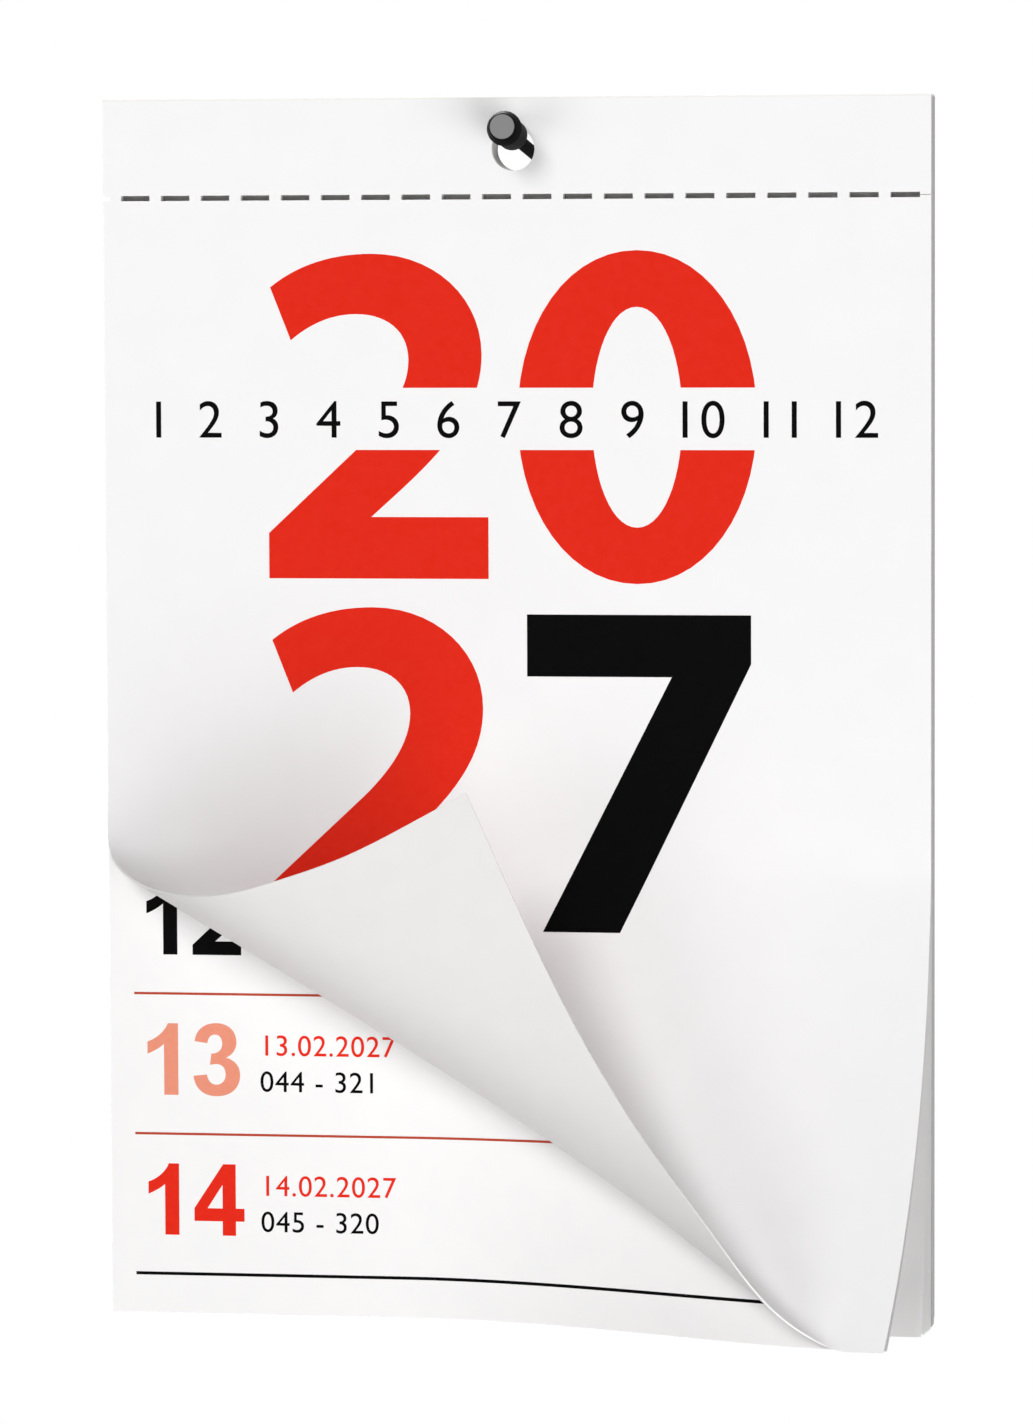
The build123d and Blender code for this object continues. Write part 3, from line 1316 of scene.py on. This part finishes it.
@dataclass
class WeekLeaf:
    """A week leaf, bent forward at the lower right. The first one is built below its tear line."""

    page: Page
    lift: CornerLift
    number: int = 1
    body: str = "week_leaf"
    thickness: float = 0.1
    pitch: float = 0.16
    corner: float = 25.0
    steps: tuple[float, float, float] = (6.0, 1.5, 1.6)

    def __post_init__(self) -> None:
        """Reads the leaf's depth from the first header strip."""
        self.front = -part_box("week_stub_01")[0].y / MM - (self.number - 1) * self.pitch

    def place(self, x: np.ndarray, drop: np.ndarray) -> np.ndarray:
        """Where places of the flat leaf lie."""
        x, drop = np.asarray(x, float), np.asarray(drop, float)
        return self.lift.place(self.page, x, drop, self.front, self.corner)

    def build(self, tool: NodeTool) -> None:
        """Builds the leaf from a flat sheet, and dresses the header strip above it.

        Args:
            tool: The lift tree.
        """
        page = self.page
        mesh = sheet_grid(page, lambda x, drop: page.spot(x, drop, np.full_like(x, self.front)),
                          self.lift.start, self.steps)
        source = new_object("leaf_face", mesh)
        tool.run(source, Finish.LEAF, self.lift.inputs(page, self.corner))
        thicken(source, self.thickness)
        settle(smooth(baked(source, "week_sheet_01")), self.body, ["week_leaf_01"])
        dress_node("week_stub_01", Finish.LEAF)


class Day(Enum):
    """The kinds of day on a week leaf, each with its ink."""

    WORKING = Finish.BLACK
    SATURDAY = Finish.SALMON
    SUNDAY = Finish.RED


WEEK = (Day.WORKING,) * 5 + (Day.SATURDAY, Day.SUNDAY)


@dataclass
class WeekPrint:
    """One week: seven rows, each with its date in bold, two lines of thin numbers and a rule below."""

    leaf: WeekLeaf
    first_date: int = 8
    first_day_of_year: int = 39
    year_days: int = 365
    date_form: str = "{:02d}.02.2027"
    row_pitch: float = 24.5
    film_mm: float = 0.02
    last_rule: float = 203.2
    rule_ends: tuple[float, float] = (-67.3, 63.3)
    rule_parts: int = 90
    red_width: float = 0.42
    black_width: float = 0.55
    date_left: float = -65.9
    date_height: float = 12.5
    date_rise: float = 6.8
    date_advance: float = 0.72
    note_left: float = -45.2
    note_height: float = 3.6
    note_weight: float = 0.004
    note_rises: tuple[float, float] = (13.9, 7.6)

    def build(self, rules: RowTool, lift: NodeTool) -> None:
        """Prints the leaf.

        Args:
            rules: The rule tree.
            lift: The lift tree, which lays the rules on the bent leaf.
        """
        run = PrintRun(self.leaf.place, film_mm=self.film_mm)
        week = f"week_{self.leaf.number:02d}"
        inks: dict[Finish, list[Mesh]] = {}
        for i, day in enumerate(WEEK):
            rule = self.last_rule - (len(WEEK) - 1 - i) * self.row_pitch
            top = rule - self.date_rise - self.date_height
            date, count = self.first_date + i, self.first_day_of_year + i
            bold = bold_figures(str(date), self.date_left, top, self.date_height, self.date_advance)
            notes = (self.date_form.format(date), f"{count:03d} - {self.year_days - count:03d}")
            upper, lower = (
                thin_figures(note, self.note_left, rule - rise, self.note_height, self.note_weight)
                for note, rise in zip(notes, self.note_rises)
            )
            upper_ink = Finish.BLACK if day is Day.WORKING else Finish.RED
            for ink, flat in ((day.value, bold), (upper_ink, upper), (Finish.BLACK, lower)):
                inks.setdefault(ink, []).append(flat)
        for ink, flats in inks.items():
            settle(run.lay(f"{week}_figures_{ink.name.lower()}", flats, ink), self.leaf.body)
        self.ruled(week, rules, lift, self.film_mm + run.sunk_mm)

    def ruled(self, week: str, rules: RowTool, lift: NodeTool, thickness: float) -> None:
        """Prints the red rules between the days and the black ones above and below the week.

        Args:
            week: The start of the pieces' names.
            rules: The rule tree.
            lift: The lift tree.
            thickness: The ink's thickness.
        """
        leaf, page, days = self.leaf, self.leaf.page, len(WEEK)
        start, end = self.rule_ends
        first = self.last_rule - (days - 1) * self.row_pitch
        for colour, ink, drop, pitch, count, width in (
            ("red", Finish.BRICK, first, self.row_pitch, days - 1, self.red_width),
            ("black", Finish.BLACK, first - self.row_pitch, days * self.row_pitch, 2, self.black_width),
        ):
            place = page.spot((start + end) / 2, drop, leaf.front + self.film_mm)
            shape = {"Length": (end - start) * MM, "Width": width * MM, "Parts": self.rule_parts}
            row = rules.row(count, place, (0, 0, -pitch), ink, shape)
            lift.run(row, ink, leaf.lift.inputs(page, leaf.corner))
            thicken(row, thickness)
            settle(baked(row, f"{week}_rules_{colour}"), leaf.body)


@dataclass
class Pad:
    """The leaves behind the first one, the grey board and the glue that binds them."""

    page: Page
    fanned: tuple[int, ...] = (2, 3, 4, 5, 6, 7, 8)
    slot_floor: str = "week_leaves_27_32"
    leaf: float = 0.1
    # The paper in a slot is a little thinner than the leaf that it stands for
    floor_share: float = 0.8

    def build(self) -> None:
        """Dresses the pad."""
        for number in self.fanned:
            node = f"week_leaf_{number:02d}"
            piece = smoothed_copy(node, f"week_sheet_{number:02d}", Finish.LEAF)
            settle(piece, "pad", [node])
        for node in sorted(NODES):
            if node.startswith("week_leaves"):
                dress_node(node, Finish.STACK)
        dress_node("backing_board", Finish.BOARD)
        dress_node("glue_binding", Finish.GLUE)

    def slot_floors(self, tool: RowTool) -> None:
        """Sets paper across the tear slots at a deeper leaf, whose own slots are cut out of line.

        Args:
            tool: The tree for a row of blocks.
        """
        page = self.page
        whole = [(start, end) for start, end in page.slots() if start > page.left]
        front = -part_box(self.slot_floor)[0].y / MM
        first = page.spot(sum(whole[0]) / 2, page.tear_drop, front - self.leaf / 2)
        size = (page.slot_length, self.floor_share * self.leaf, page.slot_height)
        row = tool.row(len(whole), first, (-page.slot_pitch, 0, 0), Finish.LEAF,
                       {"Size": tuple(np.multiply(size, MM))})
        settle(baked(row, "slot_floors"), "pad")


@dataclass
class Peg:
    """The black peg with its grey end disc, on the dark pin that the pad hangs on."""

    tilt: float = 6.5
    reach: float = 11.9
    barrel: float = 5.2
    barrel_gap: float = 0.2
    barrel_round: float = 0.25
    head: float = 5.95
    head_length: float = 2.85
    head_land: float = 0.55
    head_round: float = 0.2
    end_rim: float = 0.13
    disc: float = 4.2
    disc_thickness: float = 0.8
    disc_proud: float = 0.15
    disc_round: float = 0.1
    fit: float = 0.02
    pin: float = 2.6
    root: float = 2.2
    root_length: float = 25.0
    root_point: float = 6.0
    # The root's blunt tip is this many times thinner than the root
    root_taper: float = 6.0
    tang: float = 2.0
    tang_length: float = 7.0
    sides: int = 96
    round_places: int = 7

    def build(self, page: Page) -> None:
        """Builds the peg's three pieces.

        Args:
            page: The page, whose front the peg stands out from.
        """
        tilt = math.radians(self.tilt)
        barrel, head, disc, pin, root, tang = (
            size / 2 for size in (self.barrel, self.head, self.disc, self.pin, self.root, self.tang))
        start = (page.front + self.barrel_gap + barrel * math.sin(tilt)) / math.cos(tilt)
        end = page.front / math.cos(tilt) + self.reach
        head_start, top = end - self.head_length, end + self.disc_proud
        floor, bore_end = top - self.disc_thickness, start + self.tang_length
        bore, seat = tang + self.fit, disc + self.fit
        body = [(0.0, bore_end), (bore, bore_end), (bore, start),
                *self.rounded(barrel, start, self.barrel_round, (90, 0)), (barrel, head_start),
                *self.rounded(head, head_start, self.head_round, (90, 0)),
                (head, head_start + self.head_land), (seat + self.end_rim, end), (seat, end), (seat, floor),
                (0.0, floor)]
        cap = [(0.0, floor), (disc, floor), *self.rounded(disc, top, self.disc_round, (0, -90)), (0.0, top)]
        tip, shoulder = -self.root_length, pin * math.tan(tilt)
        rod = [(0.0, tip), (root / self.root_taper, tip), (root, tip + self.root_point), (root, shoulder),
               (pin, shoulder), (pin, start), (tang, start), (tang, bore_end - self.fit),
               (0.0, bore_end - self.fit)]
        for part, profile, finish, slot in (
            ("body", body, Finish.PEG, "peg_black"), ("cap", cap, Finish.CAP, "peg_grey"),
            ("pin", rod, Finish.PIN, "pin_steel"),
        ):
            mesh = self.turned(profile, tilt)
            mesh.materials.append(finish.dress())
            settle(smooth(new_object(f"peg_turned_{part}", mesh)), "wall_peg", [f"peg_{part}"])

    def rounded(self, radius: float, place: float, size: float,
                angles: tuple[float, float]) -> list[tuple[float, float]]:
        """A rounded edge of a turned profile.

        Args:
            radius: The cylinder's radius.
            place: The end face's place along the axis.
            size: The rounding's radius.
            angles: 90 to 0 for an edge at the back, 0 to -90 for one at the front.

        Returns:
            Places along the rounding.
        """
        middle = place + size if angles[0] > 0 else place - size
        turns = [math.radians(degrees) for degrees in np.linspace(*angles, self.round_places)]
        return [(radius - size + size * math.cos(turn), middle - size * math.sin(turn)) for turn in turns]

    def turned(self, profile: Sequence[tuple[float, float]], tilt: float) -> Mesh:
        """Turns a profile round the peg's axis.

        Args:
            profile: Radii and places along the axis, from one end of the axis to the other.
            tilt: The axis's rise in radians.

        Returns:
            The closed shape in its place.
        """
        angles = np.arange(self.sides) * 2 * math.pi / self.sides
        radius, along = np.array(profile).T
        across = np.cos(angles)[None, :] * radius[:, None]
        upward = np.sin(angles)[None, :] * radius[:, None]
        axis = np.array((0, -math.cos(tilt), math.sin(tilt)))
        side, up = np.array((1.0, 0, 0)), np.array((0, math.sin(tilt), math.cos(tilt)))
        vertices = across[..., None] * side + upward[..., None] * up + along[:, None, None] * axis
        faces = []
        for low in range(0, (len(profile) - 1) * self.sides, self.sides):
            high = low + self.sides
            for i in range(self.sides):
                j = (i + 1) % self.sides
                faces.append((low + i, low + j, high + j, high + i))
        mesh = mesh_of(vertices.reshape(-1, 3), faces)
        with editing(mesh) as work:
            bmesh.ops.remove_doubles(work, verts=work.verts, dist=MERGE_M)
            bmesh.ops.recalc_face_normals(work, faces=work.faces)
        return mesh


# Studio


@dataclass(frozen=True)
class Lamp:
    """A soft square lamp that faces the page, with its place and size in metres."""

    name: str
    place: tuple[float, float, float]
    size: float
    watts: float


@dataclass
class Studio:
    """Floor, lamps, sky and the camera at the photograph's angle.

    The floor glows for the eye alone, so that it is white, and less near the pad, where its shadow stays.
    """

    page: Page
    azimuth: float = 8.93
    elevation: float = 3.95
    roll: float = -0.23
    distance: float = 1140.0
    pixels_per_mm: float = 5.828
    target_x: float = 0.21
    target_drop: float = 104.78
    white: str = "#FFFFFF"
    sky: float = 0.14
    floor_colour: str = "#F6F6F6"
    floor_roughness: float = 0.9
    floor_half: float = 3000.0
    floor_below: float = 1500.0
    near_glow: float = 0.45
    near_reach: float = 250.0
    far_reach: float = 420.0
    lamps: tuple[Lamp, ...] = (
        Lamp("upper left", (-0.5, -1.75, 0.9), 0.6, 15.5),
        Lamp("right", (1.3, -1.55, -0.85), 1.6, 26.0),
        Lamp("lower left", (-1.15, -1.68, -0.5), 1.0, 7.5),
        Lamp("back", (-0.6, 1.35, 0.85), 1.0, 27.0),
    )

    def build(self) -> None:
        """Builds the studio."""
        scene = bpy.context.scene
        scene.view_settings.view_transform = "Standard"
        self.floor()
        self.world()
        middle = Vector((0, -self.page.front * MM, (self.page.top - self.page.height / 2) * MM))
        for lamp in self.lamps:
            light = bpy.data.lights.new(lamp.name, "AREA")
            light.size = lamp.size
            light.energy = lamp.watts
            stand = bpy.data.objects.new(lamp.name, light)
            stand.location = lamp.place
            stand.rotation_euler = (middle - Vector(lamp.place)).to_track_quat("-Z", "Y").to_euler()
            scene.collection.objects.link(stand)
        self.camera()

    def floor(self) -> None:
        """A plain pale floor well below the pad."""
        half = self.floor_half
        height = self.page.top - self.page.height - self.floor_below
        corners = [(-half, -half), (half, -half), (half, half), (-half, half)]
        mesh = mesh_of(np.array([(x, y, height) for x, y in corners]), [(0, 1, 2, 3)])
        material, tree, shader = new_material("pale studio floor")
        place = add_node(tree, "ShaderNodeTexCoord").outputs["Object"]
        level = add_node(tree, "ShaderNodeVectorMath", {0: place, 1: (1, 1, 0)}, operation="MULTIPLY")
        away = add_node(tree, "ShaderNodeVectorMath", {0: level.outputs["Vector"]}, operation="LENGTH")
        pale = add_node(tree, "ShaderNodeMapRange",
                        {"Value": away.outputs["Value"], "From Min": self.near_reach * MM,
                         "From Max": self.far_reach * MM, "To Min": self.near_glow, "To Max": 1.0},
                        interpolation_type="SMOOTHSTEP")
        glow = add_node(tree, "ShaderNodeMath", {0: self.seen(tree), 1: pale.outputs["Result"]},
                        operation="MULTIPLY")
        link_inputs(tree, shader, {
            "Base Color": linear(self.floor_colour), "Roughness": self.floor_roughness,
            "Emission Color": linear(self.white), "Emission Strength": glow.outputs[0],
        })
        mesh.materials.append(material)
        new_object("floor", mesh)

    @staticmethod
    def seen(tree: Tree) -> Socket:
        """Whether a ray shows the background: one seen straight, in a reflection or through glass.

        Args:
            tree: The background's tree.

        Returns:
            A socket that is 1 for such a ray.
        """
        path = add_node(tree, "ShaderNodeLightPath").outputs
        shown = path["Is Camera Ray"]
        for ray in ("Is Glossy Ray", "Is Transmission Ray"):
            shown = add_node(tree, "ShaderNodeMath", {0: shown, 1: path[ray]}, operation="MAXIMUM").outputs[0]
        return shown

    def world(self) -> None:
        """Soft white light from all round, and a white background."""
        world = bpy.data.worlds.new("studio")
        world.use_nodes = True
        tree = world.node_tree
        strength = add_node(tree, "ShaderNodeMapRange",
                            {"Value": self.seen(tree), "To Min": self.sky, "To Max": 1.0})
        link_inputs(tree, tree.nodes["Background"],
                    {"Color": linear(self.white), "Strength": strength.outputs["Result"]})
        bpy.context.scene.world = world

    def camera(self) -> None:
        """The camera at the photograph's viewing angle."""
        turn, rise, roll = (math.radians(angle) for angle in (self.azimuth, self.elevation, self.roll))
        back = Vector((math.sin(turn) * math.cos(rise), -math.cos(turn) * math.cos(rise), math.sin(rise)))
        right = Vector((math.cos(turn), math.sin(turn), 0))
        up = back.cross(right)
        right, up = (
            right * math.cos(roll) + up * math.sin(roll),
            up * math.cos(roll) - right * math.sin(roll),
        )
        target = self.page.spot(self.target_x, self.target_drop, self.page.front) * MM
        lens = bpy.data.cameras.new("photo camera")
        lens.sensor_fit = "AUTO"
        lens.sensor_width = SENSOR_MM
        lens.lens = self.pixels_per_mm * self.distance / IMAGE_HEIGHT * SENSOR_MM
        stand = bpy.data.objects.new("photo camera", lens)
        turned = Matrix((right, up, back)).transposed().to_4x4()
        stand.matrix_world = Matrix.Translation(Vector(target) + back * self.distance * MM) @ turned
        bpy.context.scene.collection.objects.link(stand)
        bpy.context.scene.camera = stand


def main() -> None:
    """Builds the calendar and its studio."""
    logging.basicConfig(level=logging.INFO, format="%(name)s: %(message)s")
    page = Page.from_frame()
    lift = CornerLift()
    lifter, blocks, ruler = lift_tool(), block_tool(), rule_tool()
    cover = Cover(page, lift, CornerCurl())
    cover.build()
    cover.ties(blocks)
    CoverPrint(cover).build()
    leaf = WeekLeaf(page, lift)
    leaf.build(lifter)
    WeekPrint(leaf).build(ruler, lifter)
    pad = Pad(page)
    pad.build()
    pad.slot_floors(blocks)
    # The ink on the second leaf is thicker, to lie clear of the solid's facets
    second = WeekLeaf(page, lift, number=2, body="pad", corner=10.0)
    WeekPrint(second, first_date=15, first_day_of_year=46, film_mm=0.05).build(ruler, lifter)
    Peg().build(page)
    Studio(page).build()


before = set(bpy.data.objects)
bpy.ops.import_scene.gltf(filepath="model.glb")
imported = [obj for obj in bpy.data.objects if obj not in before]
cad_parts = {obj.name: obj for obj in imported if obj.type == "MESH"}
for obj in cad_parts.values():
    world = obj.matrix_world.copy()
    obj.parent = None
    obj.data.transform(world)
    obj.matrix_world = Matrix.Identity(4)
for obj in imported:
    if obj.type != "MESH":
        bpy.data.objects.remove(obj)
NODES: dict[str, bpy.types.Object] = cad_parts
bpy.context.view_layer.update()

if __name__ == "__main__":
    main()
